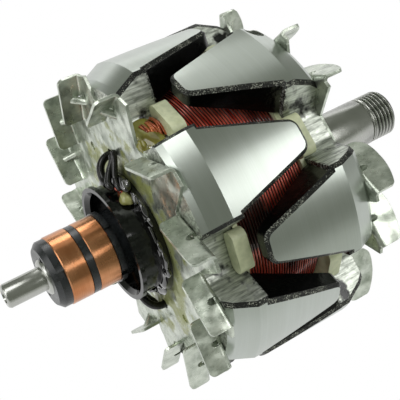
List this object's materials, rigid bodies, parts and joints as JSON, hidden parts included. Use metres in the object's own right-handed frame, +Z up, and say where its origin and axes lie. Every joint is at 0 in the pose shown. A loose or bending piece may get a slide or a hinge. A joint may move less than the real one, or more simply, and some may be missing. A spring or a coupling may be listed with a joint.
{
  "type": "alternator rotor",
  "caption": "Claw-pole rotor of a vehicle alternator: spins inside the stator as its electromagnet, fed through slip rings and cooled by a fan at each end.",
  "frame": {"origin": "on the shaft's axis, at the shoulder that the drive-end bearing is pushed against", "axes": "+X along the shaft, towards the threaded drive end; +Z up, through a valley of the ring-side pole piece and the middle of a claw of the drive-side one"},
  "size_m": [0.151, 0.109, 0.109],
  "materials": {
    "shaft_steel": "turned and ground, fine circumferential lines",
    "pole_iron": "machined satin faces, dark varnished sides",
    "core_iron": "turned",
    "zinc_sheet": "zinc plated, streaky, pressed edges",
    "ring_copper": "brushed round by the brushes' track",
    "bar_copper": "bright",
    "enamelled_wire": "dark red enamel",
    "black_moulding": "glossy black with varnish",
    "grey_moulding": "dark grey thermoset",
    "nylon": "cream, slightly translucent",
    "sleeving": "black, satin"
  },
  "bodies": {
    "root": {"shaft": "shaft_steel", "ring_claw_pole": "pole_iron", "drive_claw_pole": "pole_iron", "pole_core": "core_iron", "coil_spool": "nylon", "field_coil": "enamelled_wire", "ring_fan": "zinc_sheet", "drive_fan": "zinc_sheet", "slip_ring_outer": "ring_copper", "slip_ring_inner": "ring_copper", "ring_insulator": "grey_moulding", "dust_cup": "black_moulding", "conductor_outer": "bar_copper", "conductor_inner": "bar_copper", "terminal_start": "bar_copper", "terminal_finish": "bar_copper", "lead_start": "enamelled_wire", "lead_finish": "enamelled_wire", "lead_sleeve_start": "sleeving", "lead_sleeve_finish": "sleeving"}
  },
  "joints": []
}
